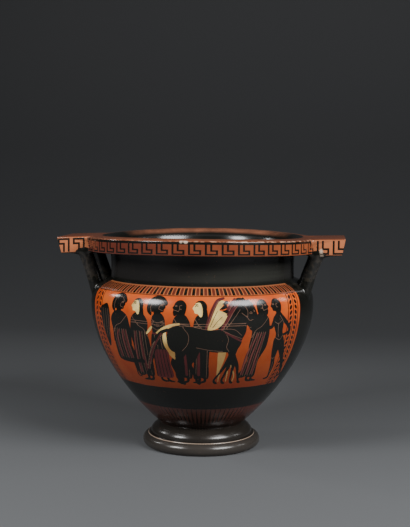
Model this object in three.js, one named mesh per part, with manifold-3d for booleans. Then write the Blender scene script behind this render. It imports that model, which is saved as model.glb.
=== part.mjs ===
// Column krater: a wide, hollow mixing bowl of fired clay with a stepped foot, a short neck, a heavy
// overhanging rim, and at each side a flat handle plate carried on two slanting columns.
// The vessel was thrown and luted together and fired as one piece, so it is one solid.
// Units are millimetres. +Z is up, the handles lie along X, and the origin is the centre of the foot's
// resting plane.
import * as THREE from 'three';
import { mergeVertices } from 'three/addons/utils/BufferGeometryUtils.js';
import Module from 'manifold-3d';

// Driving dimensions
const height = 341;
const rimRadius = 181;
const mouthRadius = 139;
const neckRadius = 146;
const bellyRadius = 177.8;
const bellyHeight = 231;
const footRadius = 89;
const wall = 7.5;

// Foot: a lower and an upper roll, parted by a narrow fillet, over a hollow underside
const restInner = 76;
const lowerRollTop = 18.4;
const lowerRollBulge = 7.7;
const filletRadius = 85.6;
const filletHeight = 1.3;
const upperRollRadius = 80.8;
const footTop = 36;
const footTopRadius = 66.6;
const hollowRadius = 44;
const hollowHeight = 29;

// Body, shoulder and neck
const bodyBaseRadius = 65.3;
const neckBase = 274;
const neckFlare = 2;
const shoulderReach = 31;
const floorHeight = 42;
const floorRadius = 52;

// Rim: a flange that falls outwards from the flared mouth, its face hanging below its underside; it has sunk
// at the handles, where the vessel carries their weight
const rimFall = 2.4;
const rimFace = 21.9;
const rimUndercut = 4;
const lipThickness = 11;
const rimRounding = 1.6;
const rimSag = 4;
const mouthFlareWidth = 21;
const mouthFlareDepth = 38;

// Handles, the same on both sides but for the droop of their plates in degrees, the right one's first
const plateReach = 226;
const plateRoot = 164;
const plateWidth = 104;
const plateTop = height - 0.7;
const plateThickness = 26;
const plateEndSlope = 6;
const plateBevel = 1.4;
const plateDroops = [-1.2, 2.8];
const columnSpacing = 83;
const columnRadius = 10.2;
const columnTop = new THREE.Vector2(183.2, plateTop - plateThickness + 5);
const columnFoot = new THREE.Vector2(147.3, 206);
const columnTopFlare = 2.6;
const columnFootFlare = 5.2;

// Fineness of the round surfaces
const turns = 64;
const columnSides = 16;
const columnRings = 8;

const clay = new THREE.MeshStandardMaterial({ color: 0x1d1b19, roughness: 0.32, metalness: 0 });

const wasm = await Module();
wasm.setup();

/** Turns a closed three.js geometry into a solid, with shared corners merged and flat slivers dropped. */
function solid(geometry) {
  const bare = geometry.clone();
  bare.deleteAttribute('normal');
  bare.deleteAttribute('uv');
  const merged = mergeVertices(bare, 1e-3);
  const corners = merged.index.array;
  const kept = [];
  for (let i = 0; i < corners.length; i += 3) {
    const [a, b, c] = [corners[i], corners[i + 1], corners[i + 2]];
    if (a !== b && b !== c && c !== a) kept.push(a, b, c);
  }
  return new wasm.Manifold(new wasm.Mesh({
    numProp: 3,
    vertProperties: new Float32Array(merged.attributes.position.array),
    triVerts: new Uint32Array(kept),
  }));
}

/** Gives a solid back as a geometry with flat faces. */
function geometryOf(body) {
  const mesh = body.getMesh();
  const geometry = new THREE.BufferGeometry();
  geometry.setAttribute('position', new THREE.BufferAttribute(new Float32Array(mesh.vertProperties), 3));
  geometry.setIndex(new THREE.BufferAttribute(new Uint32Array(mesh.triVerts), 1));
  return geometry;
}

/** Sampled cubic curve in the (radius, height) plane, without its first point. */
function curve(from, pull, lean, to, steps) {
  const points = new THREE.CubicBezierCurve(
    new THREE.Vector2(...from), new THREE.Vector2(...pull),
    new THREE.Vector2(...lean), new THREE.Vector2(...to)).getPoints(steps);
  return points.slice(1);
}

/** Revolves a profile that starts and ends on the axis, given as (radius, height) points, about Z. */
function turned(profile, sides) {
  const geometry = new THREE.LatheGeometry(profile, sides);
  geometry.rotateX(Math.PI / 2);
  return solid(geometry);
}

/** Outside of the vessel, from the middle of its hollow underside up to the middle of its mouth. */
function outerProfile() {
  const filletTop = lowerRollTop + filletHeight;
  const rimEdge = height - rimFall;
  const rimBottom = rimEdge - rimFace;
  const underRim = rimBottom + rimUndercut;
  const lipInner = rimRadius - lipThickness;
  const neckTop = neckRadius + neckFlare;
  return [
    new THREE.Vector2(0, hollowHeight),
    new THREE.Vector2(hollowRadius, hollowHeight - 2),
    ...curve([hollowRadius, hollowHeight - 2], [58, 24], [72, 10], [restInner, 0], 3),
    new THREE.Vector2(footRadius, 0),
    ...curve([footRadius, 0], [footRadius + lowerRollBulge, 2.2],
      [footRadius + lowerRollBulge, lowerRollTop - 1.3], [filletRadius, lowerRollTop], 6),
    new THREE.Vector2(filletRadius - 0.6, filletTop),
    new THREE.Vector2(upperRollRadius, filletTop),
    ...curve([upperRollRadius, filletTop], [upperRollRadius + 3.2, filletTop + 5],
      [footTopRadius + 9.5, footTop - 0.8], [footTopRadius, footTop], 5),
    new THREE.Vector2(bodyBaseRadius, footTop + 1),
    ...curve([bodyBaseRadius, footTop + 1], [72, 40], [bellyRadius, 136], [bellyRadius, bellyHeight], 11),
    ...curve([bellyRadius, bellyHeight], [bellyRadius, bellyHeight + shoulderReach],
      [160, neckBase - 10], [neckRadius + 2, neckBase - 3], 7),
    new THREE.Vector2(neckRadius, neckBase + 2),
    ...curve([neckRadius, neckBase + 2], [neckRadius - 0.6, neckBase + 14],
      [neckRadius, underRim - 12], [neckTop, underRim], 2),
    new THREE.Vector2(lipInner, underRim),
    new THREE.Vector2(lipInner + 1.5, rimBottom),
    new THREE.Vector2(rimRadius - rimRounding, rimBottom),
    new THREE.Vector2(rimRadius, rimBottom + rimRounding),
    new THREE.Vector2(rimRadius, rimEdge - rimRounding),
    new THREE.Vector2(rimRadius - rimRounding, rimEdge),
    new THREE.Vector2(mouthRadius + mouthFlareWidth, height),
    new THREE.Vector2(0, height),
  ];
}

/** Hollow inside of the vessel, from its floor up to above the mouth. */
function hollowProfile() {
  const innerBelly = bellyRadius - wall;
  const innerNeck = neckRadius - wall;
  const flareStart = height - mouthFlareDepth;
  const mouthEdge = mouthRadius + mouthFlareWidth;
  return [
    new THREE.Vector2(0, floorHeight),
    new THREE.Vector2(floorRadius, floorHeight + 1.5),
    ...curve([floorRadius, floorHeight + 1.5], [66, 47], [innerBelly, 140], [innerBelly, bellyHeight], 8),
    ...curve([innerBelly, bellyHeight], [innerBelly, bellyHeight + 25],
      [150, neckBase - 14], [innerNeck, neckBase], 4),
    new THREE.Vector2(mouthRadius, flareStart),
    ...curve([mouthRadius, flareStart], [mouthRadius + 1, height - 9],
      [mouthEdge - 14, height], [mouthEdge, height + 0.02], 5),
    new THREE.Vector2(mouthEdge, height + 5),
    new THREE.Vector2(0, height + 5),
  ];
}

/** Flat plate that reaches out from the rim, its free end cut back towards the bottom, drooping from the rim. */
function handlePlate(droop) {
  const outline = new THREE.Shape([
    new THREE.Vector2(plateRoot, plateTop - plateThickness + plateBevel),
    new THREE.Vector2(plateReach - plateEndSlope - plateBevel, plateTop - plateThickness + plateBevel),
    new THREE.Vector2(plateReach - plateBevel, plateTop - plateBevel),
    new THREE.Vector2(plateRoot, plateTop - plateBevel),
  ]);
  const geometry = new THREE.ExtrudeGeometry(outline, {
    depth: plateWidth - 2 * plateBevel,
    bevelThickness: plateBevel,
    bevelSize: plateBevel,
    bevelSegments: 2,
  });
  geometry.translate(0, 0, plateBevel - plateWidth / 2);
  geometry.rotateX(Math.PI / 2);
  geometry.translate(-rimRadius, 0, -plateTop);
  geometry.rotateY(THREE.MathUtils.degToRad(droop));
  geometry.translate(rimRadius, 0, plateTop);
  return solid(geometry);
}

/** Round column from inside the shoulder up into the plate, flared at both ends. */
function handleColumn(y) {
  const run = columnTop.clone().sub(columnFoot);
  const length = run.length();
  const profile = [new THREE.Vector2(0, 0)];
  for (let i = 0; i <= columnRings; i += 1) {
    const along = i / columnRings;
    const flare = columnFootFlare * (1 - along) ** 2 + columnTopFlare * along ** 8;
    profile.push(new THREE.Vector2(columnRadius + flare, along * length));
  }
  profile.push(new THREE.Vector2(0, length));
  const geometry = new THREE.LatheGeometry(profile, columnSides);
  geometry.rotateX(Math.PI / 2);
  geometry.rotateY(Math.atan2(run.x, run.y));
  geometry.translate(columnFoot.x, y, columnFoot.y);
  return solid(geometry);
}

/** One handle on the +X side, as the pieces that are luted on. */
function handle(droop) {
  return [
    handlePlate(droop),
    handleColumn(-columnSpacing / 2),
    handleColumn(columnSpacing / 2),
  ];
}

/** Lets a point of the neck, rim or handles sink the more, the nearer it is to the handles. */
function sink(point) {
  const [x, y, z] = point;
  const share = THREE.MathUtils.smoothstep(z, neckBase, height - rimFall - rimFace);
  point[2] = z - rimSag * share * x * x / Math.max(x * x + y * y, 1);
}

let vessel = turned(outerProfile(), turns);
plateDroops.forEach((droop, i) => {
  for (const piece of handle(droop)) vessel = vessel.add(piece.rotate([0, 0, 180 * i]));
});
vessel = vessel.subtract(turned(hollowProfile(), turns)).warp(sink);

const krater = new THREE.Mesh(geometryOf(vessel), clay);
krater.name = 'krater';

const group = new THREE.Group();
group.add(krater);

export default group;
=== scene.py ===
"""Looks of the column krater: a turned and painted clay bowl with plate handles on columns.

The vessel is one piece. Its wall, foot and rim are turned from one profile, the handles are luted on, and
the painted pictures are brushwork measured on the wall itself, so that they follow its curve.
"""
import math

import bmesh
import bpy
import numpy as np
from mathutils import Matrix, Vector, kdtree, noise


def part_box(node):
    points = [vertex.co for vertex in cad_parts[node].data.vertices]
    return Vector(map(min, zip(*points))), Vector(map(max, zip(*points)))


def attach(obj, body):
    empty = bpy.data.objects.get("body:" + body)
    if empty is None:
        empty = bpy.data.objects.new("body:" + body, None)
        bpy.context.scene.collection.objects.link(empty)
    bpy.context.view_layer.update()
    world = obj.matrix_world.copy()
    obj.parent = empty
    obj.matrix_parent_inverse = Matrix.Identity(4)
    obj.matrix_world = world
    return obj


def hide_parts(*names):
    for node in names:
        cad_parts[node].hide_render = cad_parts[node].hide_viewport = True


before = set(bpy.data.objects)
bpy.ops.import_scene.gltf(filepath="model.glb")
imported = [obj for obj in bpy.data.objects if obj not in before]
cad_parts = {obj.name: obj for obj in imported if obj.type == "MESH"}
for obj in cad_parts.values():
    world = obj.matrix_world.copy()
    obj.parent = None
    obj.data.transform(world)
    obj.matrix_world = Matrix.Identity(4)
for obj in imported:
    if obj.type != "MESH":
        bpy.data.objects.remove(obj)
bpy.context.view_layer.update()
MM = 0.001

# Sizes of the vessel in millimetres, the outer ones from the krater part in model.glb
_, node_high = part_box("krater")
HEIGHT = node_high.z / MM
PLATE_REACH = node_high.x / MM
RIM_RADIUS = 181.0
MOUTH_RADIUS = 139.0
NECK_RADIUS = 146.0
BELLY_RADIUS = 177.8
BELLY_HEIGHT = 231.0
FOOT_RADIUS = 89.0
WALL = 7.5
REST_INNER = 76.0
LOWER_ROLL_TOP = 18.4
LOWER_ROLL_BULGE = 7.7
FILLET_RADIUS = 85.6
FILLET_HEIGHT = 1.3
UPPER_ROLL_RADIUS = 80.8
FOOT_TOP = 36.0
FOOT_TOP_RADIUS = 66.6
HOLLOW_RADIUS = 44.0
HOLLOW_HEIGHT = 29.0
BODY_BASE_RADIUS = 65.3
NECK_BASE = 274.0
SHOULDER_REACH = 31.0
FLOOR_HEIGHT = 42.0
FLOOR_RADIUS = 52.0
RIM_EDGE = HEIGHT - 2.4
RIM_BOTTOM = RIM_EDGE - 21.9
RIM_UNDERCUT = 4.0
LIP_THICKNESS = 11.0
RIM_ROUNDING = 1.6
RIM_SAG = 4.0
MOUTH_EDGE = MOUTH_RADIUS + 21.0
MOUTH_FLARE_DEPTH = 38.0
PLATE_ROOT = 164.0
PLATE_WIDTH = 104.0
PLATE_TOP = HEIGHT - 0.7
PLATE_THICKNESS = 26.0
PLATE_BOTTOM = PLATE_TOP - PLATE_THICKNESS
PLATE_END_SLOPE = 6.0
PLATE_BEVEL = 1.5
PLATE_DROOPS = {1: -1.2, -1: 2.8}
COLUMN_SPACING = 83.0
COLUMN_RADIUS = 10.2
COLUMN_TOP = (183.2, PLATE_BOTTOM + 5)
COLUMN_FOOT = (147.3, 206.0)
COLUMN_TOP_FLARE = 2.6
COLUMN_FOOT_FLARE = 5.2

# Painted bands: heights, lengths up the wall from the ground line, half the picture's width, and repeats
RAYS_TOP = 77.5
PANEL_LOW = 115.1
GROUND_LINE = 121.0
PANEL_HIGH = 257.6
TONGUES_TOP = 268.6
TONGUES_RUN = (146.6, 167.2)
PANEL_HALF = math.radians(63)
PANEL_EDGE = PANEL_HALF * BELLY_RADIUS
LEAF_PITCH = 8.0
TONGUE_PAIRS = 88
RAYS = 88
KEY_UNITS = 47

# Pale spots, as place and size: a painted highlight at the top of the right handle's near column, drawn as
# two pale chips, and chips on the rim's edge
CHIPS_AND_HIGHLIGHT = (((189, -51, 317), 3.0), ((191, -50, 312), 2.0), ((-4, -181, 338), 3.0), ((-11, -180, 338), 2.2))

# Fineness of the visual mesh
TURN_STEPS = 150
COLUMN_STEPS = 40
COLUMN_RINGS = 34


# Profiles

def bezier(start, pull, lean, end, spacing):
    """Evenly spaced (radius, height) points along a cubic curve, without its first point."""
    t = np.linspace(0, 1, 240)[:, None]
    a, b, c, d = (np.array(p, float) for p in (start, pull, lean, end))
    fine = (1 - t) ** 3 * a + 3 * (1 - t) ** 2 * t * b + 3 * (1 - t) * t**2 * c + t**3 * d
    run = np.concatenate([[0], np.cumsum(np.hypot(*np.diff(fine, axis=0).T))])
    even = np.linspace(0, run[-1], max(2, round(run[-1] / spacing)) + 1)[1:]
    return [(np.interp(s, run, fine[:, 0]), np.interp(s, run, fine[:, 1])) for s in even]


def corner(centre_r, centre_z, radius, start, end, steps=4):
    """Points of a rounded corner, angles in degrees."""
    angles = np.radians(np.linspace(start, end, steps + 1))
    return [(centre_r + radius * math.cos(a), centre_z + radius * math.sin(a)) for a in angles]


def wall_profile(spacing):
    """Outside of the body and shoulder, from the foot's top to the neck."""
    body = bezier((BODY_BASE_RADIUS, FOOT_TOP + 1), (72, 40), (BELLY_RADIUS, 136),
                  (BELLY_RADIUS, BELLY_HEIGHT), spacing)
    shoulder = bezier((BELLY_RADIUS, BELLY_HEIGHT), (BELLY_RADIUS, BELLY_HEIGHT + SHOULDER_REACH),
                      (160, NECK_BASE - 10), (NECK_RADIUS + 2, NECK_BASE - 3), spacing)
    return [(BODY_BASE_RADIUS, FOOT_TOP + 1), *body, *shoulder]


def outer_profile():
    """Outside of the vessel, from the middle of its hollow underside to the mouth."""
    fillet_top = LOWER_ROLL_TOP + FILLET_HEIGHT
    under_rim = RIM_BOTTOM + RIM_UNDERCUT
    lip_inner = RIM_RADIUS - LIP_THICKNESS
    edge = RIM_RADIUS - RIM_ROUNDING
    return [
        (0, HOLLOW_HEIGHT),
        (HOLLOW_RADIUS / 2, HOLLOW_HEIGHT - 0.6),
        (HOLLOW_RADIUS, HOLLOW_HEIGHT - 2),
        *bezier((HOLLOW_RADIUS, HOLLOW_HEIGHT - 2), (58, 24), (72, 10), (REST_INNER, 0.8), 6),
        (REST_INNER + 1.2, 0),
        (FOOT_RADIUS - 0.6, 0),
        *bezier((FOOT_RADIUS - 0.6, 0), (FOOT_RADIUS + LOWER_ROLL_BULGE, 1.6),
                (FOOT_RADIUS + LOWER_ROLL_BULGE, LOWER_ROLL_TOP - 1.3),
                (FILLET_RADIUS, LOWER_ROLL_TOP), 1.9),
        (FILLET_RADIUS - 0.15, LOWER_ROLL_TOP + 0.5),
        (FILLET_RADIUS - 0.7, fillet_top - 0.1),
        (UPPER_ROLL_RADIUS + 0.6, fillet_top),
        *bezier((UPPER_ROLL_RADIUS + 0.2, fillet_top + 0.3), (UPPER_ROLL_RADIUS + 3.2, fillet_top + 5),
                (FOOT_TOP_RADIUS + 9.5, FOOT_TOP - 0.8), (FOOT_TOP_RADIUS, FOOT_TOP), 1.9),
        *wall_profile(7.0),
        (NECK_RADIUS + 0.3, NECK_BASE - 2),
        *bezier((NECK_RADIUS + 0.2, NECK_BASE + 1), (NECK_RADIUS - 0.6, NECK_BASE + 14),
                (NECK_RADIUS, under_rim - 12), (NECK_RADIUS + 2, under_rim - 1), 7),
        *corner(NECK_RADIUS + 3.4, under_rim - 1.4, 1.4, 180, 90, 3),
        (lip_inner - 0.8, under_rim),
        (lip_inner + 0.2, under_rim - 0.8),
        *corner(lip_inner + 2.4, RIM_BOTTOM + 1.2, 1.2, 200, 270, 3),
        *corner(edge, RIM_BOTTOM + RIM_ROUNDING, RIM_ROUNDING, -90, 0),
        *corner(edge, RIM_EDGE - RIM_ROUNDING, RIM_ROUNDING, 0, 80),
        (RIM_RADIUS - 9, HEIGHT - 1.3),
        (MOUTH_EDGE + 1, HEIGHT - 0.1),
    ]


def inner_profile():
    """Inside of the vessel, from the rounded lip down to the middle of its floor."""
    inner_belly = BELLY_RADIUS - WALL
    inner_neck = NECK_RADIUS - WALL
    flare_start = HEIGHT - MOUTH_FLARE_DEPTH
    return [
        *bezier((MOUTH_EDGE + 1, HEIGHT - 0.1), (MOUTH_EDGE - 14, HEIGHT), (MOUTH_RADIUS + 1, HEIGHT - 9),
                (MOUTH_RADIUS, flare_start), 2),
        *bezier((MOUTH_RADIUS, flare_start), (MOUTH_RADIUS, flare_start - 9), (inner_neck, NECK_BASE + 9),
                (inner_neck, NECK_BASE), 9),
        *bezier((inner_neck, NECK_BASE), (150, NECK_BASE - 14), (inner_belly, BELLY_HEIGHT + 25),
                (inner_belly, BELLY_HEIGHT), 8),
        *bezier((inner_belly, BELLY_HEIGHT), (inner_belly, 140), (66, 47),
                (FLOOR_RADIUS, FLOOR_HEIGHT + 1.5), 11),
        (FLOOR_RADIUS / 2, FLOOR_HEIGHT + 0.4),
        (0, FLOOR_HEIGHT),
    ]


FINE_WALL = np.array(wall_profile(0.5))
FINE_RUN = np.concatenate([[0], np.cumsum(np.hypot(*np.diff(FINE_WALL, axis=0).T))])


def wall_radius(z):
    """Radius of the body's outside at a height."""
    return np.interp(z, FINE_WALL[:, 1], FINE_WALL[:, 0])


def wall_run(z):
    """Length up the wall from the picture's ground line."""
    return np.interp(z, FINE_WALL[:, 1], FINE_RUN) - np.interp(GROUND_LINE, FINE_WALL[:, 1], FINE_RUN)


# Modelling

def turned(profile, steps):
    """A closed body turned about Z from (radius, height) points that start and end on the axis."""
    bm = bmesh.new()
    verts = [bm.verts.new((0, -r * MM, z * MM)) for r, z in profile]
    edges = [bm.edges.new(pair) for pair in zip(verts, verts[1:])]
    bmesh.ops.spin(bm, geom=verts + edges, cent=(0, 0, 0), axis=(0, 0, 1), dvec=(0, 0, 0),
                   angle=2 * math.pi, steps=steps, use_merge=True)
    bmesh.ops.remove_doubles(bm, verts=bm.verts, dist=1e-6)
    bmesh.ops.recalc_face_normals(bm, faces=bm.faces)
    return bm


def swing_of(x, y):
    """Angle from the middle of the nearer picture, and the angle from the front."""
    angle = np.arctan2(x, -y)
    return np.minimum(np.abs(angle), np.pi - np.abs(angle)), angle


def refine(bm, low, high, swing_low, swing_high, cuts, front=None):
    """Cuts the outer wall's faces between two heights and two angles into a finer grid."""
    chosen = set()
    for face in bm.faces:
        c = face.calc_center_median() / MM
        swing, _ = swing_of(c.x, c.y)
        outside = math.hypot(c.x, c.y) > wall_radius(c.z) - 3
        if low < c.z < high and swing_low < swing < swing_high and outside and front in (None, c.y < 0):
            chosen.update(face.edges)
    bmesh.ops.subdivide_edges(bm, edges=list(chosen), cuts=cuts, use_grid_fill=True)


def make_true(bm):
    """Puts the wall's new points back on the turned surface."""
    for vert in bm.verts:
        z = vert.co.z / MM
        r = math.hypot(vert.co.x, vert.co.y) / MM
        if FOOT_TOP + 1 < z < NECK_BASE - 3 and abs(r - wall_radius(z)) < 2:
            vert.co.xy *= wall_radius(z) / r


def bowl():
    """The turned vessel without handles, fine where the pictures and the handles' roots are."""
    bm = turned(outer_profile() + inner_profile(), TURN_STEPS)
    for cuts, front in ((5, True), (3, False)):
        refine(bm, PANEL_LOW, PANEL_HIGH + 3, 0, PANEL_HALF, cuts, front)
    refine(bm, 205, 272, PANEL_HALF, math.radians(84), 2)
    make_true(bm)
    return bm


def turn(bm, angle, axis, about=(0, 0, 0)):
    """Turns the whole mesh about an axis through a point."""
    bmesh.ops.rotate(bm, verts=bm.verts, cent=about, matrix=Matrix.Rotation(angle, 3, axis))


def plate(side):
    """A handle plate, its free end cut back towards the bottom, its edges soft, drooping from the rim."""
    bm = bmesh.new()
    bmesh.ops.create_cube(bm, size=1)
    length = PLATE_REACH - PLATE_ROOT
    bmesh.ops.scale(bm, verts=bm.verts, vec=(length * MM, PLATE_WIDTH * MM, PLATE_THICKNESS * MM))
    middle = ((PLATE_ROOT + PLATE_REACH) / 2 * MM, 0, (PLATE_TOP - PLATE_THICKNESS / 2) * MM)
    bmesh.ops.translate(bm, verts=bm.verts, vec=middle)
    outer_bottom = [v for v in bm.verts if v.co.x > middle[0] and v.co.z < middle[2]]
    bmesh.ops.translate(bm, verts=outer_bottom, vec=(-PLATE_END_SLOPE * MM, 0, 0))
    bmesh.ops.bevel(bm, geom=bm.edges[:], offset=PLATE_BEVEL * MM, affect="EDGES", segments=4, profile=0.5,
                    material=-1)
    turn(bm, math.radians(PLATE_DROOPS[side]), "Y", (RIM_RADIUS * MM, 0, PLATE_TOP * MM))
    if side < 0:
        turn(bm, math.pi, "Z")
    return bm


def column(side, y):
    """A round column from inside the shoulder's wall up into the plate, flared at both ends."""
    run = Vector((COLUMN_TOP[0] - COLUMN_FOOT[0], 0, COLUMN_TOP[1] - COLUMN_FOOT[1]))
    profile = [(0, 0)]
    for i in range(COLUMN_RINGS + 1):
        along = i / COLUMN_RINGS
        flare = COLUMN_FOOT_FLARE * (1 - along) ** 2 + COLUMN_TOP_FLARE * along**8
        profile.append((COLUMN_RADIUS + flare, along * run.length))
    profile.append((0, run.length))
    bm = turned(profile, COLUMN_STEPS)
    turn(bm, math.atan2(run.x, run.z), "Y")
    bmesh.ops.translate(bm, verts=bm.verts, vec=Vector((COLUMN_FOOT[0], y, COLUMN_FOOT[1])) * MM)
    for vert in bm.verts:
        r = math.hypot(vert.co.x, vert.co.y) / MM
        middle_of_wall = wall_radius(vert.co.z / MM) - WALL / 2
        if r < middle_of_wall and vert.co.z / MM < NECK_BASE - 6:
            vert.co.xy *= middle_of_wall / r
    if side < 0:
        turn(bm, math.pi, "Z")
    return bm


def object_from(bm, name):
    """A scene object at the origin that holds the mesh."""
    mesh = bpy.data.meshes.new(name)
    bm.to_mesh(mesh)
    bm.free()
    made = bpy.data.objects.new(name, mesh)
    bpy.context.scene.collection.objects.link(made)
    return made


def luted(base, parts):
    """The base with the parts joined on as one closed mesh; the parts are used up."""
    for part in parts:
        join = base.modifiers.new(part.name, "BOOLEAN")
        join.operation = "UNION"
        join.solver = "EXACT"
        join.object = part
    bpy.context.view_layer.update()
    whole = bpy.data.meshes.new_from_object(base.evaluated_get(bpy.context.evaluated_depsgraph_get()))
    base.modifiers.clear()
    base.data = whole
    for part in parts:
        bpy.data.objects.remove(part)
    return base


def blend_joints(bm):
    """Softens the creases where the handles were luted on."""
    def at_handle(vert):
        return abs(vert.co.x) > 130 * MM and abs(vert.co.y) < 68 * MM and vert.co.z > 196 * MM

    def creased(edge):
        two = len(edge.link_faces) == 2
        return two and not edge.is_convex and edge.calc_face_angle() > 0.3 and at_handle(edge.verts[0])

    loops = [v.co.copy() for e in bm.edges if creased(e) for v in e.verts
             if math.hypot(v.co.x, v.co.y) > (NECK_RADIUS + 5) * MM]
    tree = kdtree.KDTree(len(loops))
    for i, place in enumerate(loops):
        tree.insert(place, i)
    tree.balance()

    def near(vert, reach):
        return at_handle(vert) and tree.find(vert.co)[2] < reach * MM

    def too_long(edge):
        return edge.calc_length() > 3.2 * MM and all(near(v, 8) for v in edge.verts)

    crowded = [f for f in bm.faces if len(f.verts) > 4 and any(near(v, 8) for v in f.verts)]
    bmesh.ops.triangulate(bm, faces=crowded)
    for _ in range(2):
        bmesh.ops.subdivide_edges(bm, edges=[e for e in bm.edges if too_long(e)], cuts=1)
        bmesh.ops.triangulate(bm, faces=[f for f in bm.faces if len(f.verts) > 4])
    all_ways = {"use_axis_" + axis: True for axis in "xyz"}
    for reach, rounds in ((6.5, 6), (4.0, 6)):
        soft = [v for v in bm.verts if near(v, reach)]
        for _ in range(rounds):
            bmesh.ops.smooth_vert(bm, verts=soft, factor=0.5, **all_ways)


def drop_flaps(bm):
    """Takes out faces that lie back to back on the same corners, left over from the joining."""
    twins = {}
    for face in bm.faces:
        twins.setdefault(frozenset(face.verts), []).append(face)
    flaps = [face for pair in twins.values() if len(pair) > 1 for face in pair]
    bmesh.ops.delete(bm, geom=flaps, context="FACES")


def sink(bm):
    """Lets the neck, rim and handles sink towards the handles, as the thrown vessel's did."""
    for vert in bm.verts:
        x, y, z = vert.co / MM
        share = min(max((z - NECK_BASE) / (RIM_BOTTOM - NECK_BASE), 0), 1)
        share *= share * (3 - 2 * share)
        vert.co.z -= RIM_SAG * share * x * x / max(x * x + y * y, 1) * MM


def hand_made(bm):
    """Slight unevenness of a vessel that was thrown and turned by hand."""
    bm.normal_update()
    for vert in bm.verts:
        if vert.co.z < 0.5 * MM:
            continue
        sway = noise.noise(vert.co * 14) * 0.35 + noise.noise(vert.co * 60 + Vector((7, 3, 1))) * 0.12
        vert.co += vert.normal * sway * MM


def krater_mesh():
    """The whole vessel as one closed mesh."""
    body = object_from(bowl(), "krater_vessel")
    for side in (1, -1):
        handle = object_from(plate(side), "plate")
        luted(handle, [object_from(column(side, y * COLUMN_SPACING / 2), "column") for y in (-1, 1)])
        luted(body, [handle])
    bm = bmesh.new()
    bm.from_mesh(body.data)
    bmesh.ops.remove_doubles(bm, verts=bm.verts, dist=1e-6)
    blend_joints(bm)
    drop_flaps(bm)
    sink(bm)
    hand_made(bm)
    bmesh.ops.recalc_face_normals(bm, faces=bm.faces)
    bm.to_mesh(body.data)
    bm.free()
    body.data.shade_smooth()
    body.data.set_sharp_from_angle(angle=math.radians(50))
    return body


# Brushwork on the wall

FAR = 4.0
OVERLAP = 0.5
HEAD_HEIGHT = 92.0


def smooth(points, closed=False, steps=5):
    """Points along a curve through the given ones; every column is smoothed, widths too."""
    p = np.array(points, float)
    if closed:
        p = np.vstack([p[-1:], p, p[:2]])
    else:
        p = np.vstack([2 * p[:1] - p[1:2], p, 2 * p[-1:] - p[-2:-1]])
    t = np.linspace(0, 1, steps, endpoint=False)[:, None]
    spans = [
        0.5 * (2 * b + (c - a) * t + (2 * a - 5 * b + 4 * c - d) * t**2 + (3 * b - a - 3 * c + d) * t**3)
        for a, b, c, d in zip(p, p[1:], p[2:], p[3:])
    ]
    if not closed:
        spans.append(p[-2:-1])
    return np.vstack(spans)


class Painting:
    """Brushwork on a wall, as distances in mm from each point (u, v) to the edge of each coat of paint."""

    def __init__(self, u, v):
        self.u, self.v = u, v
        self.coats = {name: np.full(u.shape, FAR) for name in ("black", "cream", "red")}
        self.side = {name: np.full(u.shape, FAR) for name in ("cut", "ink")}
        self.reach = {name: np.full(u.shape, FAR) for name in ("cut", "ink")}
        self.place(0, 0)

    def place(self, u, v, scale=1.0, facing=1, lean=0.0):
        """Sets where the next figure stands, its size, the way it faces (1 right, -1 left) and its lean."""
        self.origin, self.scale, self.facing, self.lean = (u, v), scale, facing, lean

    def _meet(self, path, closed=False):
        """The path as it lies on the wall, and which points of the wall are near it."""
        p = np.array(path, float)
        p[:, 0] += self.lean * (p[:, 1] - HEAD_HEIGHT)
        p[:, 0] = self.origin[0] + self.facing * self.scale * p[:, 0]
        p[:, 1] = self.origin[1] + self.scale * p[:, 1]
        p[:, 2:] *= self.scale
        p = smooth(p, closed)
        margin = FAR + p[:, 2:].max(initial=0)
        (u0, v0), (u1, v1) = p[:, :2].min(0) - margin, p[:, :2].max(0) + margin
        near = np.nonzero((self.u > u0) & (self.u < u1) & (self.v > v0) & (self.v < v1))[0]
        return p, near, self.u[near], self.v[near]

    def _lay(self, colour, d, near):
        for name, coat in self.coats.items():
            if name == colour:
                coat[near] = np.minimum(coat[near], d)
            else:
                coat[near] = np.maximum(coat[near], -d - OVERLAP)
        for reach in self.reach.values():
            reach[near] = np.where(d < 0, FAR, reach[near])

    @staticmethod
    def _along(u, v, a, b):
        """Share of the way from a to b, and the distance, of the nearest place on that stretch."""
        dx, dy = b[0] - a[0], b[1] - a[1]
        t = np.clip(((u - a[0]) * dx + (v - a[1]) * dy) / (dx * dx + dy * dy + 1e-9), 0, 1)
        return t, np.hypot(u - a[0] - t * dx, v - a[1] - t * dy)

    def stroke(self, colour, path):
        """A brush stroke through (x, y, half width) points."""
        p, near, u, v = self._meet(path)
        d = np.full(u.shape, FAR)
        for a, b in zip(p, p[1:]):
            t, gap = self._along(u, v, a, b)
            d = np.minimum(d, gap - a[2] - t * (b[2] - a[2]))
        self._lay(colour, d, near)

    def shape(self, colour, outline):
        """A filled shape inside a closed smooth outline."""
        p, near, u, v = self._meet(outline, closed=True)
        d = np.full(u.shape, FAR)
        inside = np.zeros(u.shape, bool)
        for a, b in zip(p, np.roll(p, -1, 0)):
            d = np.minimum(d, self._along(u, v, a, b)[1])
            rise = b[1] - a[1] or 1e-9
            inside ^= ((a[1] > v) != (b[1] > v)) & (u < a[0] + (v - a[1]) / rise * (b[0] - a[0]))
        self._lay(colour, np.where(inside, -d, d), near)

    def line(self, kind, path):
        """A thin line, cut through the paint or drawn in ink, kept as its side and its reach."""
        p, near, u, v = self._meet(path)
        side, reach = self.side[kind][near], self.reach[kind][near]
        for a, b in zip(p, p[1:]):
            _, gap = self._along(u, v, a, b)
            dx, dy = b - a
            across = (dx * (v - a[1]) - dy * (u - a[0])) / (np.hypot(dx, dy) + 1e-9)
            side = np.where(gap < reach, across, side)
            reach = np.minimum(reach, gap)
        self.side[kind][near], self.reach[kind][near] = side, reach


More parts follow.
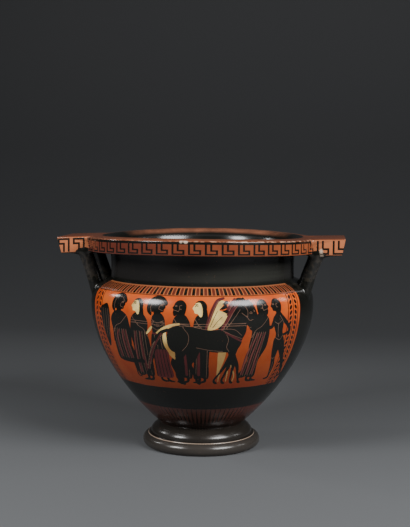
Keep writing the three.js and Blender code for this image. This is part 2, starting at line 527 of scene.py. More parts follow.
def arc(cx, cy, rx, ry, start, end, n=7, width=None):
    """Points on part of an ellipse, angles in degrees, anticlockwise from +x."""
    a = np.radians(np.linspace(start, end, n))
    columns = [cx + rx * np.cos(a), cy + ry * np.sin(a)]
    if width is not None:
        columns.append(np.full(n, width))
    return np.stack(columns, -1)


def moved(points, dx=0.0, dy=0.0, lean=0.0, about=70.0):
    """The points moved, and leaning about a height."""
    p = np.array(points, float)
    p[:, 0] += dx + lean * (p[:, 1] - about)
    p[:, 1] += dy
    return p


# Generic figures, facing right and about 100 units high

FIGURE_FOOT = 5.0
FIGURE_SCALE = 1.36


def head(paint, x, y, kind):
    """A head in profile: kind is man, youth, woman or helmet."""
    def at(points):
        return moved(points, x, y)

    bearded = kind == "man"
    chin = [(6.6, -2.6), (5.6, -5.6), (2.2, -6.4)]
    if bearded:
        chin = [(7.0, -2.2), (7.6, -5.5), (6.2, -9.4), (2.0, -7.6)]
    paint.shape("black", at([(-4.6, -8.5), (-7.0, -2.0), (-6.8, 3.6), (-2.6, 7.8), (2.6, 7.4), (5.6, 4.4),
                             (6.4, 2.0), (8.2, -0.6), *chin, (0.8, -10.5)]))
    paint.stroke("black", at([(-1.6, -5, 3.4), (-2.2, -13, 3.6)]))
    if kind == "woman":
        paint.shape("cream", at([(0.4, 5.4), (4.8, 4.8), (6.4, 2.2), (8.3, -0.6), (6.9, -2.8), (5.8, -5.8),
                                 (2.6, -6.6), (0.6, -9.4), (-1.6, -9.6), (-2.6, -5.0), (-2.0, 0.6)]))
        paint.stroke("black", at([(-5.0, -3, 2.4), (-6.0, -10, 2.2), (-6.6, -17, 1.4)]))
        paint.line("ink", at([(2.6, 1.4), (4.2, 2.2), (5.4, 1.2)]))
        paint.line("ink", at([(2.2, 3.2), (4.2, 3.8), (5.8, 3.2)]))
    else:
        paint.line("cut", at([(2.8, 1.6), (4.2, 2.4), (5.2, 1.6), (4.2, 0.8), (2.8, 1.6)]))
        paint.line("cut", at([(-1.6, 2.2), (0.2, 1.6), (0.0, -1.4), (-1.6, -1.8)]))
    if bearded:
        paint.line("cut", at([(0.2, -1.6), (1.6, -4.4), (4.0, -3.4), (6.4, -3.0)]))
    if kind == "helmet":
        paint.shape("black", at([(-7.4, -6.0), (-8.0, 1.0), (-5.4, 7.6), (0.4, 9.6), (5.6, 7.2), (7.2, 2.8),
                                 (3.0, 1.8), (5.6, -4.2), (1.0, -6.4), (-2.4, -3.6)]))
        crest = arc(-1.0, -2.0, 10.0, 11.6, 30, 215, 9, 2.9)
        crest[-1, 2] = 1.2
        paint.stroke("black", at(crest))
        paint.line("cut", at(arc(-1.0, -2.0, 8.4, 10.0, 40, 200, 9)))
        paint.line("cut", at([(6.6, 3.0), (2.6, 2.0), (0.4, -2.4), (4.8, -4.0)]))


def feet(paint, strides):
    """Feet flat on the ground, toes forward."""
    for x in strides:
        paint.stroke("black", [(x, 9, 1.9), (x + 0.2, 3.4, 1.7), (x + 3.5, 1.6, 1.5), (x + 8.4, 0.9, 0.8)])


def draped(paint, u, facing, kind, girth, reds, swing=0.0, hem=7.0, folds=5):
    """A standing figure wrapped in a long cloak down to its hem, its folds cut through the paint."""
    paint.place(u, FIGURE_FOOT, FIGURE_SCALE, facing)
    if hem < 10:
        feet(paint, (-5, 2))
    back, front = -10.5 * girth, 10.5 * girth
    width = front - back
    paint.shape("black", [
        (-3.4, 84), (3.2, 84), (front * 0.8, 79), (front, 70), (front * 1.08, 58), (front * 0.95, 44),
        (front * 0.98 + swing, hem + 21), (front * 1.12 + swing, hem + 1), (front * 0.5 + swing, hem - 0.6),
        (0.5 + swing, hem + 1), (back * 0.5 + swing, hem - 0.6), (back * 1.08 + swing, hem + 1.6),
        (back, hem + 21), (back * 1.06, 48), (back * 0.92, 62), (back * 1.02, 73), (back * 0.72, 80.5)])
    head(paint, 1.2, 91.5, kind)
    for share in reds:
        low = back * 0.9 + width * share * 0.9 + swing
        paint.stroke("red", [(back * 0.4 + width * share * 0.55, 62, 0.9), (low * 0.9, hem + 29, 1.5),
                             (low, hem + 5, 1.8)])
    for share in np.linspace(0.12, 0.88, folds):
        top = (back + width * share) * 0.8
        low = back * 0.98 + width * share + swing
        paint.line("cut", [(top, 63), ((top + low) / 2 - 0.8, hem + 32), (low, hem + 2)])
    paint.line("cut", [(front * 0.75, 79), (front * 0.1, 70), (back * 0.5, 66), (back * 0.9, 58)])


def youth(paint, u, facing, hand=(17, 70), lean=0.0):
    """A nude youth in a striding stance, one arm held out."""
    paint.place(u, FIGURE_FOOT, FIGURE_SCALE, facing, lean)
    for limb in ([(-3, 51, 6.0), (-9, 38, 4.6), (-13, 28, 3.0), (-18, 18, 3.0), (-24, 6, 1.6),
                  (-24, 2.6, 1.6), (-16, 1.0, 0.9)],
                 [(1.5, 51, 6.2), (3.2, 38, 4.8), (3.4, 28, 3.1), (1.6, 18, 3.2), (2.2, 6, 1.7),
                  (3.2, 2.2, 1.7), (10, 1.0, 0.9)],
                 [(0.5, 81, 4.0), (0.5, 76, 7.4), (0.2, 70, 7.2), (-0.6, 61, 5.2), (-1.0, 53, 6.6)],
                 [(-4.5, 78, 3.0), (-13, 70, 2.3), (-18, 62, 1.9), (-9, 58, 1.5), (-1, 57, 1.4)],
                 [(5, 78, 2.9), (11, 68, 2.1), (*hand, 1.4)]):
        paint.stroke("black", limb)
    head(paint, 2.0, 91.5, "youth")
    for cut in ([(-4, 74), (1, 71), (6, 73.5)], [(1, 71), (1.4, 62), (0.4, 56)],
                [(-6.5, 57), (-2, 52), (4.5, 55)], [(2.0, 30), (4.4, 28), (5.6, 30.4)],
                [(2.4, 24), (1.4, 17), (2.2, 10)], [(-2, 80), (-6, 74), (-10, 68)]):
        paint.line("cut", cut)


def warrior(paint, u, facing):
    """A helmeted fighter in a corslet with a skirt of flaps over a long red robe."""
    paint.place(u, FIGURE_FOOT, FIGURE_SCALE, facing)
    feet(paint, (-6, 3))
    paint.shape("red", [(-8, 48), (8, 48), (10, 26), (11.5, 8), (0, 6.4), (-11.5, 8), (-10, 26)])
    for x in (-8, -4.5, -1, 2.5, 6):
        paint.stroke("black", [(x, 48, 0.7), (x * 1.2, 26, 0.9), (x * 1.4, 8, 0.9)])
    paint.stroke("black", [(0, 82, 4.0), (0, 76, 8.0), (0, 66, 7.4), (0, 58, 6.6)])
    paint.shape("black", [(-8, 62), (-4, 64), (4, 64), (8, 62), (10.5, 45), (4, 43.4), (-4, 43.4),
                          (-10.5, 45)])
    for x in (-6, -2, 2, 6):
        paint.line("cut", [(x * 0.8, 61), (x * 1.1, 52), (x * 1.35, 45)])
    paint.stroke("red", [(-7.0, 62, 1.0), (0, 60.8, 1.0), (7.0, 62, 1.0)])
    for low in (66, 70, 74):
        paint.line("cut", [(-7, low + 3), (-1, low), (6, low + 2.4)])
    head(paint, 0.6, 91.5, "helmet")


HORSE_BODY = [(-56, 84), (-50, 99), (-34, 104), (-14, 101), (8, 97), (28, 98), (46, 97), (58, 88),
              (59, 76), (52, 64), (40, 61), (14, 62), (-10, 68), (-24, 64), (-44, 60), (-54, 68)]
HORSE_NECK = [(26, 92), (33, 106), (40, 120), (47, 131), (55, 138), (64, 137), (72, 130), (68, 116),
              (62, 104), (60, 88), (50, 78)]
HORSE_HEAD = [(60, 130), (64, 139), (68, 134), (74, 126), (79, 112), (81, 102), (77, 95), (71, 96),
              (67, 105), (60, 112), (56, 122)]
HIND_LEG = [(-44, 78, 13), (-42, 64, 10), (-47, 50, 5.4), (-52, 40, 3.6), (-48, 26, 2.7), (-46, 14, 2.3),
            (-44, 7, 3.0), (-41, 4.6, 2.8)]
CREAM_NECK = [(6, 97), (11, 112), (17, 128), (24, 139.5), (31, 139), (28, 132), (23, 126), (30, 123),
              (36, 118), (30, 108), (23, 101), (15, 97.5)]
CREAM_LOCKS = [((34, 137), (26, 135)), ((32, 131), (22.5, 127)), ((34, 124), (27, 125.5)),
               ((40, 120), (31, 119))]


def foreleg(foot):
    """A horse's foreleg from the chest to a hoof at the given place."""
    knee = 46 + 0.45 * (foot - 46) + 2.5
    return [(46, 70, 9), (46, 58, 5.6), (knee, 38, 3.2), ((knee + foot) / 2, 24, 2.2), (foot, 11, 1.9),
            (foot + 2, 6, 2.5), (foot + 5, 4.6, 1.6)]


def horse_head(paint, dx, dy):
    """Neck, mane, head and bridle of a black horse, moved from the near horse's place."""
    for part in (HORSE_NECK, HORSE_HEAD):
        paint.shape("black", moved(part, dx, dy))
    paint.stroke("red", moved([(27, 97, 1.6), (34, 110, 2.6), (42, 124, 2.8), (51, 136, 2.0)], dx, dy))
    for cut in ([(29, 97), (36.5, 110), (44.5, 124), (53, 135)],
                [(68.6, 121), (71, 122.8), (73.4, 120.6), (71, 119.8), (68.6, 121)],
                [(57, 121), (65, 115), (70, 110), (77, 112)], [(62, 131), (66, 124), (66, 115)],
                [(71, 99), (75, 101), (79, 100)], [(33, 98), (44, 112), (54, 126)]):
        paint.line("cut", moved(cut, dx, dy))


def horse_team(paint, u):
    """A team of horses standing to the right, the cream one behind, one body in front."""
    paint.place(u, 0)
    paint.stroke("cream", [(-36, 105, 1.6), (-50, 101.5, 2.4), (-61, 96, 3.0), (-71, 90, 1.4)])
    paint.stroke("cream", [(30, 64, 6.5), (29, 53, 6.0), (28, 42, 4.6), (26, 30, 2.6), (25, 20, 1.2)])
    for foot in (30, 44, 57):
        paint.stroke("cream", [(44, 60, 2), (42 + 0.4 * (foot - 44), 38, 1.4), (foot - 1.6, 20, 0.9),
                               (foot - 2, 8, 0.8)])
    for foot in (20, 34, 50, 65):
        paint.stroke("black", foreleg(foot))
    horse_head(paint, -4, 6)
    paint.shape("cream", CREAM_NECK)
    paint.stroke("red", [(4, 99, 1.8), (9, 115, 2.6), (14.5, 129, 2.8), (21, 140, 2.6), (30, 144, 2.0)])
    paint.line("cut", [(5.5, 101), (10.5, 116), (16, 129.5), (22, 139.5)])
    paint.line("ink", [(10, 102), (15, 114), (20, 124)])
    paint.line("ink", [(14, 101), (20, 109), (27, 116)])
    for root, tip in CREAM_LOCKS:
        middle = ((root[0] + tip[0]) / 2, (root[1] + tip[1]) / 2 - 0.6)
        paint.stroke("black", [(*root, 3.0), (*middle, 1.7), (*tip, 0.3)])
    horse_head(paint, 4, 2.5)
    for step, lean in ((2, 0.0), (26, -0.14)):
        paint.stroke("black", moved(HIND_LEG, step, 0, lean))
    paint.stroke("cream", [(-58, 94, 2.0), (-59, 84, 3.2), (-57, 74, 4.4), (-52, 65, 5.6), (-47, 57, 6.0),
                           (-45, 51, 3.0)])
    paint.stroke("black", moved(HIND_LEG[1:], 7, -1))
    paint.shape("black", HORSE_BODY)
    horse_head(paint, 0, 0)
    paint.stroke("black", [(-54, 96, 2.6), (-66, 89, 3.6), (-77, 70, 4.6), (-88, 48, 4.8), (-97, 28, 3.8),
                           (-105, 12, 1.4)])
    for k in range(4):
        paint.line("cut", [(-62 - 1.6 * k, 89 - 1.6 * k), (-74 - 1.9 * k, 72), (-85.5 - 1.8 * k, 49),
                           (-95.5 - 1.3 * k, 28)])
    paint.stroke("red", [(-64, 90, 1.0), (-78, 68, 1.5), (-89, 46, 1.4), (-98, 27, 0.8)])
    for cut in (HORSE_BODY[1:8], [(-30, 100), (-22, 88), (-24, 74), (-32, 64)],
                [(32, 94), (38, 82), (36, 70), (40, 63)], [(-10, 69), (10, 65), (30, 63)]):
        paint.line("cut", cut)
    paint.stroke("red", [(33, 93, 1.5), (45, 86, 1.6), (58, 79, 1.4)])
    paint.line("cut", [(30, 95), (43, 89), (58, 83)])


def front_picture(paint):
    """A team of horses with draped figures, fighters and a youth around it."""
    draped(paint, -11, -1, "man", 0.95, (0.3,), folds=2)
    draped(paint, 19, -1, "woman", 0.85, (0.7,), folds=2)
    warrior(paint, -46, 1)
    draped(paint, -79, -1, "woman", 1.1, (0.3, 0.8), swing=4)
    paint.place(0, 0)
    paint.stroke("cream", [(-66, 88, 1.0), (-61, 94, 2.0), (-57, 99, 1.4)])
    horse_team(paint, 22)
    paint.place(0, 0)
    for drop in (0, 3.4):
        paint.line("cut", [(-92, 107 - drop), (-40, 106 - drop), (20, 105.5 - drop), (86, 106 - drop)])
    paint.shape("black", [(-168, 116), (-158, 124), (-146, 126), (-140, 110), (-144, 88), (-150, 66),
                          (-158, 58), (-162, 82)])
    for x in (-160, -152, -146):
        paint.line("cut", [(x, 118), (x + 1, 100), (x - 4, 74)])
    draped(paint, -117, 1, "helmet", 1.4, (0.2, 0.6, 0.85), hem=25, folds=6)
    paint.place(0, 0)
    paint.stroke("black", [(-130, 39, 2.4), (-108, 39, 3.4), (-82, 41, 3.2)])
    paint.stroke("black", [(-103, 40, 2.2), (-104, 24, 1.5), (-105, 13, 1.3), (-97, 11, 0.7)])
    draped(paint, 111, 1, "man", 1.1, (0.15, 0.5, 0.85), swing=-7, folds=6)
    youth(paint, 141, -1, lean=0.15)


def back_picture(paint):
    """Draped figures and youths in talk, fewer than on the front."""
    draped(paint, -120, 1, "man", 1.1, (0.3, 0.7))
    youth(paint, -62, 1)
    draped(paint, -6, -1, "woman", 1.0, (0.5,))
    youth(paint, 52, -1, hand=(16, 58))
    draped(paint, 116, -1, "man", 1.15, (0.25, 0.6))


def paint_vessel(body):
    """Keeps the pictures and the wall's own measures on the mesh's points."""
    mesh = body.data
    points = np.empty(len(mesh.vertices) * 3)
    mesh.vertices.foreach_get("co", points)
    x, y, z = points.reshape(-1, 3).T / MM
    r = np.hypot(x, y)
    swing, angle = swing_of(x, y)
    outside = np.where(z < NECK_BASE, r > wall_radius(z) - WALL / 2, r > NECK_RADIUS - WALL / 2)
    fields = {"outside": outside.astype(float), "wall_run": wall_run(z)}
    on_wall = outside & (z > PANEL_LOW - 4) & (z < PANEL_HIGH + 4) & (swing < PANEL_HALF)
    for picture, facing_front in ((front_picture, True), (back_picture, False)):
        here = np.nonzero(on_wall & ((y < 0) == facing_front))[0]
        across = angle[here] if facing_front else np.arctan2(-x[here], y[here])
        paint = Painting(across * BELLY_RADIUS, wall_run(z[here]))
        picture(paint)
        layers = {**paint.coats}
        for pen in ("cut", "ink"):
            layers[pen + "_side"], layers[pen + "_reach"] = paint.side[pen], paint.reach[pen]
        for name, values in layers.items():
            fields.setdefault(name, np.full(len(z), FAR))[here] = values
    for name, values in fields.items():
        layer = mesh.attributes.new(name, "FLOAT", "POINT")
        layer.data.foreach_set("value", values.astype(np.float32))


# Finishes

def srgb(red, green, blue):
    """A colour as seen, from 0 to 255, made linear for the shader."""
    def linear(c):
        return c / 255 / 12.92 if c < 10.3 else ((c / 255 + 0.055) / 1.055) ** 2.4

    return linear(red), linear(green), linear(blue), 1


class Shade:
    """A socket in a material. Arithmetic on it adds Math nodes."""

    def __init__(self, tree, socket=None):
        self.tree, self.socket = tree, socket

    def node(self, kind, settings=(), sockets=(), output=0):
        """Adds a node, sets it up, feeds its sockets with values or links, and gives one of its outputs."""
        made = self.tree.nodes.new(kind)
        for name, value in dict(settings).items():
            setattr(made, name, value)
        for name, value in dict(sockets).items():
            if isinstance(value, Shade):
                self.tree.links.new(value.socket, made.inputs[name])
            else:
                made.inputs[name].default_value = value
        return Shade(self.tree, made.outputs[output] if made.outputs else None)

    def math(self, operation, *values, clamp=False):
        return self.node("ShaderNodeMath", {"operation": operation, "use_clamp": clamp}, enumerate(values))

    def __add__(self, other):
        return self.math("ADD", self, other)

    def __sub__(self, other):
        return self.math("SUBTRACT", self, other)

    def __rsub__(self, other):
        return self.math("SUBTRACT", other, self)

    def __mul__(self, other):
        return self.math("MULTIPLY", self, other)

    def __truediv__(self, other):
        return self.math("DIVIDE", self, other)

    __radd__, __rmul__ = __add__, __mul__

    def __abs__(self):
        return self.math("ABSOLUTE", self)

    def fract(self):
        return self.math("FRACT", self)

    def least(self, other):
        return self.math("MINIMUM", self, other)

    def most(self, other):
        return self.math("MAXIMUM", self, other)

    def below(self, limit, soft=0.35):
        """1 where the value is under the limit, 0 above it, with a soft edge."""
        return self.math("MULTIPLY_ADD", limit - self, 1 / soft, 0.5, clamp=True)

    def above(self, limit, soft=0.35):
        return self.math("MULTIPLY_ADD", self - limit, 1 / soft, 0.5, clamp=True)

    def between(self, low, high, soft=0.35):
        return self.above(low, soft) * self.below(high, soft)

    def blend(self, under, over):
        """Two colours mixed by this value: under at 0, over at 1."""
        return self.node("ShaderNodeMix", {"data_type": "RGBA"}, {0: self, 6: under, 7: over}, output=2)

    def attribute(self, name):
        return self.node("ShaderNodeAttribute", {"attribute_name": name}, output=2)

    def noise(self, place, scale, detail=3.0, stretch=(1, 1, 1)):
        """Cloudy variation from 0 to 1 over the piece."""
        turned_place = self.node("ShaderNodeMapping", (), {"Vector": place, "Scale": stretch})
        sockets = {"Vector": turned_place, "Scale": scale, "Detail": detail}
        return self.node("ShaderNodeTexNoise", (), sockets)


def either(*masks):
    """1 where any of the masks is."""
    total = masks[0]
    for mask in masks[1:]:
        total = total.most(mask)
    return total


def running_key(u, h, thick_u, thick_h):
    """The running key, as a mask: u counts units along, h goes from 0 at its foot to 1 at its top."""
    reach, inner, crook = 0.79, 0.32, 0.47
    soft_u, soft_h = 0.02, 0.03
    u = u.fract()
    tall = u.below(thick_u, soft_u)
    foot = u.below(reach, soft_u) * h.below(thick_h, soft_h)
    hook = u.between(reach - thick_u, reach, soft_u) * h.below(crook, soft_h)
    arm = u.between(inner, reach, soft_u) * h.between(crook - thick_h, crook, soft_h)
    post = u.between(inner, inner + thick_u, soft_u) * h.above(crook - thick_h, soft_h)
    return either(tall, foot, hook, arm, post)


class Surface:
    """Where a point of the vessel lies, in mm and radians, how it varies, and its clay and black."""

    def __init__(self, s):
        self.s = s
        self.place = s.node("ShaderNodeTexCoord", output=3)
        x, y, z = (s.node("ShaderNodeSeparateXYZ", (), {0: self.place}, output=i) / MM for i in range(3))
        self.x, self.y, self.z = x, y, z
        self.r = s.math("SQRT", x * x + y * y)
        self.angle = s.math("ARCTAN2", x, y * -1)
        self.swing = abs(self.angle).least(math.pi - abs(self.angle))
        self.across = self.swing * BELLY_RADIUS
        self.run = s.attribute("wall_run")
        self.outside = s.attribute("outside").above(0.5, 0.1)

        # Heights counted along the sag of the rim and the droop of the plates
        self.on_plate = self.r.above(RIM_RADIUS + 1.6, 0.6)
        falls = {side: math.tan(math.radians(droop)) for side, droop in PLATE_DROOPS.items()}
        fall = falls[-1] + x.above(0, 1) * (falls[1] - falls[-1])
        self.level = z + RIM_SAG * x * x / (self.r * self.r) + self.on_plate * (abs(x) - RIM_RADIUS) * fall

        self.cloud = s.noise(self.place, 9, 4)
        self.mottle = s.noise(self.place, 46, 4)
        self.grain = s.noise(self.place, 420, 3)
        self.turning = s.noise(self.place, 1, 2, (6, 6, 330))
        self.rubbed_and_sheen = s.noise(self.place, 150, 4).above(0.52, 0.14)
        self.wobble = (s.noise(self.place, 55, 1) - 0.5) * 1.3
        self.z_hand = z + self.wobble

        # The clay, with painted shade that darkens it towards the bottom, and the black gloss
        clay = self.mottle.above(0.5, 0.5).blend(srgb(188, 72, 24), srgb(214, 108, 44))
        clay = self.cloud.above(0.52, 0.5).blend(clay, srgb(172, 64, 26))
        painted_low_shade = self.run.below(112, 30) * 0.43 + self.run.below(50, 130) * 0.37
        self.clay = painted_low_shade.blend(clay, srgb(88, 36, 22))
        self.black = self.cloud.blend(srgb(12, 13, 12), srgb(24, 24, 20))

    def repeats(self, count):
        """Distance from the middle of the nearest of so many repeats round the vessel."""
        return abs((self.angle * (count / (2 * math.pi))).fract() - 0.5)


def leaf_border(at):
    """Two rows of leaves between rules at the picture's sides, as a mask."""
    marks = []
    for row, tilt in ((12.5, 0.45), (25.0, -0.45)):
        from_row = at.across - (PANEL_EDGE - row)
        leaf_run = ((at.run + from_row * tilt) / LEAF_PITCH).fract() - 0.5
        marks.append((from_row * from_row / 9.5 + leaf_run * leaf_run / 0.15).below(1, 0.35))
    for rule in (6.5, 18.8, 31.0):
        marks.append(abs(at.across - (PANEL_EDGE - rule)).below(0.75, 0.5))
    return either(*marks) * at.across.above(PANEL_EDGE - 32, 0.5)


def thin_line(at, kind, half_width):
    """The lines cut through the paint or drawn in ink, as a mask."""
    side = abs(at.s.attribute(kind + "_side")).below(half_width, 0.25)
    return side * at.s.attribute(kind + "_reach").below(0.95, 0.1)


def picture_paint(at):
    """The pictures and the borders at their sides."""
    cream = at.mottle.above(0.5, 0.4).blend(srgb(166, 126, 62), srgb(226, 200, 130))
    browned = at.run.below(74, 24) * (0.35 + at.mottle * 0.6)
    cream = browned.blend(cream, srgb(122, 84, 50))
    red = at.mottle.blend(srgb(56, 25, 27), srgb(92, 38, 38))
    picture, coats = at.clay, []
    for name, paint in (("black", at.black), ("cream", cream), ("red", red)):
        coats.append(at.s.attribute(name).below(0, 0.3))
        picture = coats[-1].blend(picture, paint)
    cut = thin_line(at, "cut", 0.3) * either(*coats) * (0.2 + at.mottle * 0.5)
    picture = cut.blend(picture, srgb(160, 118, 96))
    picture = thin_line(at, "ink", 0.4).blend(picture, at.black)
    return leaf_border(at).blend(picture, at.black)


def tongue_band(at):
    """Upright tongues on the shoulder, black and dark red in turn, with pale outlines."""
    low, high = TONGUES_RUN
    into_band = (at.run - low) / (high - low)
    inside = into_band.above(0.1, 0.05) * into_band.below(0.93, 0.05)
    tongue_at = at.repeats(TONGUE_PAIRS)
    band = at.mottle.blend(srgb(140, 68, 34), srgb(174, 94, 52))
    band = (tongue_at.above(0.325, 0.05) * inside * 0.9).blend(band, srgb(78, 32, 27))
    band = (tongue_at.below(0.185, 0.05) * inside).blend(band, at.black)
    outlines = abs(tongue_at - 0.255).below(0.025, 0.04) * inside * at.mottle
    band = outlines.blend(band, srgb(196, 132, 88))
    band = into_band.below(0.05, 0.04).blend(band, at.black)
    # Towards the sides the band is darkened with painted shade.
    return (at.swing.above(0.85, 0.6) * 0.25).blend(band, srgb(72, 36, 28))


def ray_band(at):
    """Rays that narrow upwards from the foot, on clay that is darker in the middle and, as painted shade,
    darker low down.
    """
    rise = (at.z - FOOT_TOP) / (RAYS_TOP - FOOT_TOP)
    rays = at.repeats(RAYS).below(0.36 - rise * 0.3, 0.08)
    ground = at.cloud.blend(srgb(84, 40, 34), srgb(106, 50, 40))
    ground = (at.swing.below(0.75, 0.7) * 0.7).blend(ground, srgb(66, 43, 37))
    # Painted shade: darker low down.
    ground = (rise.below(0.4, 0.8) * 0.8).blend(ground, srgb(41, 34, 31))
    return (rays * 0.9).blend(ground, at.black)


def wall_paint(at):
    """The outside from the foot to the rim: rays, black, the picture, tongues, and on the neck a painted
    lighter tint and a painted sheen.
    """
    in_panel = at.across.below(PANEL_EDGE, 0.5)
    # Painted light lightens the neck, and a painted reflection lies as a greenish sheen low on its right.
    neck_low = at.z.between(NECK_BASE, NECK_BASE + 16 + at.angle * 16, 10)
    painted_sheen = (0.35 + at.turning * 0.9) * neck_low * at.angle.between(-0.1, 1.1, 0.6)
    wall = (at.z.above(NECK_BASE + 1, 3) * 0.55).blend(at.black, srgb(38, 36, 36))
    wall = (painted_sheen * 0.4).blend(wall, srgb(60, 63, 56))
    wall = (at.z_hand.between(PANEL_LOW, PANEL_HIGH) * in_panel).blend(wall, picture_paint(at))
    wall = (at.z.between(PANEL_HIGH, TONGUES_TOP) * in_panel).blend(wall, tongue_band(at))
    wall = (at.z.between(TONGUES_TOP, TONGUES_TOP + 1.0) * in_panel).blend(wall, srgb(150, 92, 60))
    return at.z_hand.below(RAYS_TOP).blend(wall, ray_band(at))


def key_band(at):
    """The running key round the rim and along the plates, turned round on one half of each, as a mask."""
    unit = 2 * math.pi * RIM_RADIUS / KEY_UNITS
    along_plate = at.x * (at.s.math("SIGN", at.y) * -1)
    on_rim = 1 - at.on_plate
    u = at.on_plate * (along_plate / unit + 0.48) + on_rim * (at.angle * (RIM_RADIUS / unit) + 0.03)
    low = RIM_BOTTOM + 2.0 - at.on_plate * 2.6
    high = RIM_EDGE - 4.2 + at.on_plate * 3.4
    h = (at.level - low) / (high - low)
    turned_round = at.on_plate * along_plate.below(0, 1)
    u = u - turned_round * u * 2
    h = h + turned_round * (1 - h * 2)
    return running_key(u, h, 0.125, 0.14) * at.level.between(low, high)


def rim_paint(at):
    """The rim, the lip of the mouth and the handle plates."""
    on_rim = 1 - at.on_plate
    # The rim's face is browner and darker than the wall's clay, partly as painted shade, and painted shade
    # darkens it further towards the left.
    face = at.mottle.blend(srgb(114, 56, 34), srgb(150, 80, 46))
    face = (at.angle.below(0.15, 1.4) * on_rim * 0.75).blend(face, srgb(78, 36, 34))
    face = (at.on_plate * 0.6).blend(face, srgb(186, 116, 78))
    top_rule = at.level.between(RIM_EDGE - 4.8, RIM_EDGE - 0.9) * on_rim
    out = (abs(at.x) - COLUMN_TOP[0] + 1) / 14
    up = (at.level - PLATE_BOTTOM) / 8
    at_column = (out * out + up * up).below(1, 0.12) * at.on_plate
    plate_end = abs(at.y).below(PLATE_WIDTH / 2 - 1.2, 0.6) * at.on_plate
    plate_end = plate_end * at.level.below(PLATE_TOP - 1.4, 0.5)
    for blackened in (either(key_band(at), top_rule), at_column, plate_end):
        face = blackened.blend(face, at.black)

    # The rim's top is darker towards the sides; on the far side painted light makes its top paler and a
    # painted reflection browns the black of its lip.
    far_side = at.y.above(90, 60)
    top = at.mottle.blend(srgb(100, 56, 38), srgb(146, 84, 56))
    top = (abs(at.x).above(120, 60) * 0.5).blend(top, srgb(78, 46, 36))
    top = (far_side * 0.6).blend(top, srgb(164, 112, 86))
    lip = (at.level.above(HEIGHT - 6, 4) * at.mottle * far_side).blend(at.black, srgb(150, 96, 72))
    on_top = at.level.above(RIM_EDGE - 0.7 + at.on_plate * 0.9, 0.5)
    in_mouth = at.r.below(MOUTH_EDGE + at.wobble, 1.5)
    return either(on_top, in_mouth).blend(face, in_mouth.blend(top, lip))


def rim_place(at):
    """Where the paint of the rim and the plates lies, as a mask."""
    outer_face = at.level.above(RIM_BOTTOM + 0.6, 0.6) * at.r.above(RIM_RADIUS - 1.6, 0.6)
    top = at.level.above(RIM_EDGE - 8, 0.5) * at.r.below(RIM_RADIUS, 0.5) * (1 - at.on_plate)
    return either(outer_face, top, at.on_plate * at.level.above(PLATE_BOTTOM + 1.2, 0.5))


def foot_paint(at):
    """The foot's rolls, the lower one paler than the upper as painted light, and the pale line between
    them.
    """
    foot = at.cloud.blend(srgb(24, 22, 20), srgb(40, 36, 32))
    lower = at.cloud.blend(srgb(36, 34, 31), srgb(58, 53, 49))
    # Painted light: the lower roll is paler.
    foot = at.z.below(LOWER_ROLL_TOP, 2).blend(foot, lower)
    return at.z.between(LOWER_ROLL_TOP, LOWER_ROLL_TOP + 0.8).blend(foot, srgb(150, 132, 116))


def wear_and_highlights(at, colour):
    """The colour with flecks all over, columns rubbed brown-grey that also stands for a painted sheen, a
    chipped rim edge, a few deeper pale chips, and a painted highlight drawn as pale chips at the right
    handle's column top.
    """
    flecks = at.grain.above(0.70, 0.05) * at.mottle.above(0.56, 0.1)
    colour = (flecks * 0.5).blend(colour, srgb(120, 84, 62))
    # The columns' brown-grey is partly wear and partly a painted sheen.
    on_column = at.r.above(NECK_RADIUS + 8, 2) * at.z.between(262, 311, 24)
    on_column = on_column * at.level.below(PLATE_BOTTOM + 2, 1)
    colour = (on_column * at.rubbed_and_sheen * 0.2).blend(colour, srgb(92, 82, 70))
    near_edge = abs(at.level - RIM_EDGE + 0.2).below(1.0, 0.8)
    rim_edge = near_edge * at.r.between(RIM_RADIUS - 4, RIM_RADIUS + 1.6)
    chipped = rim_edge * at.rubbed_and_sheen * (0.15 + at.angle.between(0.1, 1.3, 0.5) * 0.5)
    colour = chipped.blend(colour, srgb(216, 160, 128))
    # Pale chips on the rim's edge, and a painted highlight at the top of the right handle's near column.
    for middle, size in CHIPS_AND_HIGHLIGHT:
        sockets = {0: at.place, 1: Vector(middle) * MM}
        gap = at.s.node("ShaderNodeVectorMath", {"operation": "DISTANCE"}, sockets, output=1) / MM
        pale_spot = (gap + at.wobble * 2 - at.rubbed_and_sheen * 1.6).below(size, 2.4)
        colour = (pale_spot * 0.8).blend(colour, srgb(206, 184, 162))
    return colour


def new_material(name):
    """An empty material, and the Shade that adds nodes to it."""
    material = bpy.data.materials.new(name)
    material.use_nodes = True
    material.node_tree.nodes.clear()
    return material, Shade(material.node_tree)


def painted_clay():
    """The vessel's finish: orange clay, black gloss, added cream and dark red, and bands of ornament."""
    material, s = new_material("painted_clay")
    at = Surface(s)
    on_foot = at.z.below(FOOT_TOP + 0.6, 0.5)
    under = (at.r + at.z).below(FOOT_RADIUS + 2, 1)
    colour = at.outside.blend(at.black, wall_paint(at))
    colour = rim_place(at).blend(colour, rim_paint(at))
    colour = on_foot.blend(colour, foot_paint(at))
    colour = under.blend(colour, at.clay)
    colour = wear_and_highlights(at, colour)
    gloss = 0.11 + at.cloud * 0.1 + at.mottle * 0.08 + on_foot * 0.05 + under * 0.4
    height = at.turning * 0.5 + at.grain * 0.12 + at.mottle * 0.4
    relief = s.node("ShaderNodeBump", (), {"Strength": 0.12, "Distance": 0.0006, "Height": height})
    shader = s.node("ShaderNodeBsdfPrincipled", (), {
        "Base Color": colour, "Roughness": gloss, "Normal": relief, "IOR": 1.45})
    s.node("ShaderNodeOutputMaterial", (), {"Surface": shader})
    return material


# The vessel

vessel = krater_mesh()
paint_vessel(vessel)
vessel.data.materials.append(painted_clay())
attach(vessel, "root")
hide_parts("krater")


# Floor, light and camera

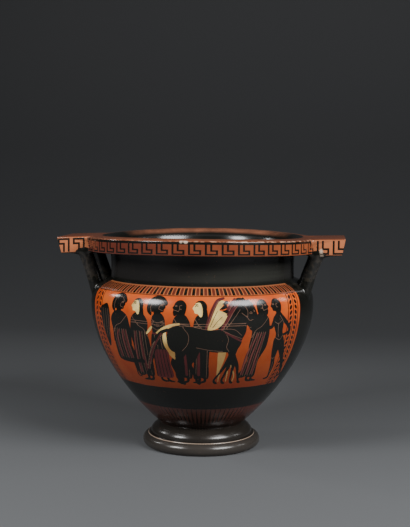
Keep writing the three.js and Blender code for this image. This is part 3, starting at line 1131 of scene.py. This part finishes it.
def graduated_paper():
    """The floor's finish: plain grey paper, pale in front, with painted shade making it dim far behind."""
    material, s = new_material("graduated_paper")
    place = s.node("ShaderNodeTexCoord", output=3)
    back = s.node("ShaderNodeSeparateXYZ", (), {0: place}, output=1)
    # Painted shade: the paper darkens far behind.
    colour = back.above(1.0, 2.4).blend(srgb(86, 88, 90), srgb(42, 43, 45))
    shader = s.node("ShaderNodeBsdfPrincipled", (), {"Base Color": colour, "Roughness": 0.75})
    s.node("ShaderNodeOutputMaterial", (), {"Surface": shader})
    return material


def floor():
    """A plain pale floor that sweeps up far behind the vessel."""
    bm = bmesh.new()
    bend, half_width = 1.2, 8
    side = [(-12, 0), *corner(bend, bend, bend, -90, 0, 16), (2 * bend, 4.5)]
    verts = [bm.verts.new((-half_width, y, z)) for y, z in side]
    edges = [bm.edges.new(pair) for pair in zip(verts, verts[1:])]
    swept = bmesh.ops.extrude_edge_only(bm, edges=edges)["geom"]
    far = [v for v in swept if isinstance(v, bmesh.types.BMVert)]
    bmesh.ops.translate(bm, verts=far, vec=(2 * half_width, 0, 0))
    bmesh.ops.recalc_face_normals(bm, faces=bm.faces)
    made = object_from(bm, "floor")
    made.data.shade_smooth()
    made.data.materials.append(graduated_paper())


def softbox(name, place, size, power):
    """A soft rectangular light that faces the vessel."""
    light = bpy.data.lights.new(name, "AREA")
    light.shape = "RECTANGLE"
    light.size, light.size_y = size
    light.energy = power
    lamp = bpy.data.objects.new(name, light)
    lamp.location = place
    lamp.rotation_euler = (Vector((0, 0, 0.2)) - Vector(place)).to_track_quat("-Z", "Y").to_euler()
    bpy.context.scene.collection.objects.link(lamp)


def studio():
    world = bpy.data.worlds.new("studio")
    bpy.context.scene.world = world
    world.use_nodes = True
    background = world.node_tree.nodes["Background"]
    background.inputs["Color"].default_value = srgb(150, 152, 154)
    background.inputs["Strength"].default_value = 0.16
    softbox("left_key", (-1.45, -1.35, 1.3), (0.7, 0.7), 50)
    softbox("right_key", (1.5, -1.2, 1.36), (1.2, 0.8), 74)
    softbox("right_glint", (1.55, -1.35, 1.05), (0.3, 0.28), 3)
    softbox("left_edge", (-2.0, 0.3, 1.2), (0.22, 0.3), 6)
    softbox("right_edge", (2.0, 0.3, 1.1), (0.25, 0.5), 4)


# Camera, fitted to the photo's view
CAMERA_AZIMUTH = math.radians(6.4)
CAMERA_DISTANCE = 1680 * MM
CAMERA_HEIGHT = 432 * MM
CAMERA_PITCH = math.radians(4.77)
FOCAL_PIXELS = 1050
IMAGE_HEIGHT = 527
SENSOR = 36
AXIS_LEFT = 3.7 * MM
CAMERA_ROLL = math.radians(0.45)


def camera():
    data = bpy.data.cameras.new("camera")
    data.sensor_width = SENSOR
    data.lens = SENSOR * FOCAL_PIXELS / IMAGE_HEIGHT
    made = bpy.data.objects.new("camera", data)
    right = Vector((math.cos(CAMERA_AZIMUTH), math.sin(CAMERA_AZIMUTH), 0))
    back = Vector((math.sin(CAMERA_AZIMUTH), -math.cos(CAMERA_AZIMUTH), 0))
    made.location = back * CAMERA_DISTANCE + right * AXIS_LEFT + Vector((0, 0, CAMERA_HEIGHT))
    aim = Matrix.Rotation(CAMERA_AZIMUTH, 3, "Z") @ Matrix.Rotation(math.pi / 2 - CAMERA_PITCH, 3, "X")
    made.rotation_euler = (aim @ Matrix.Rotation(CAMERA_ROLL, 3, "Z")).to_euler()
    bpy.context.scene.collection.objects.link(made)
    bpy.context.scene.camera = made


floor()
studio()
camera()
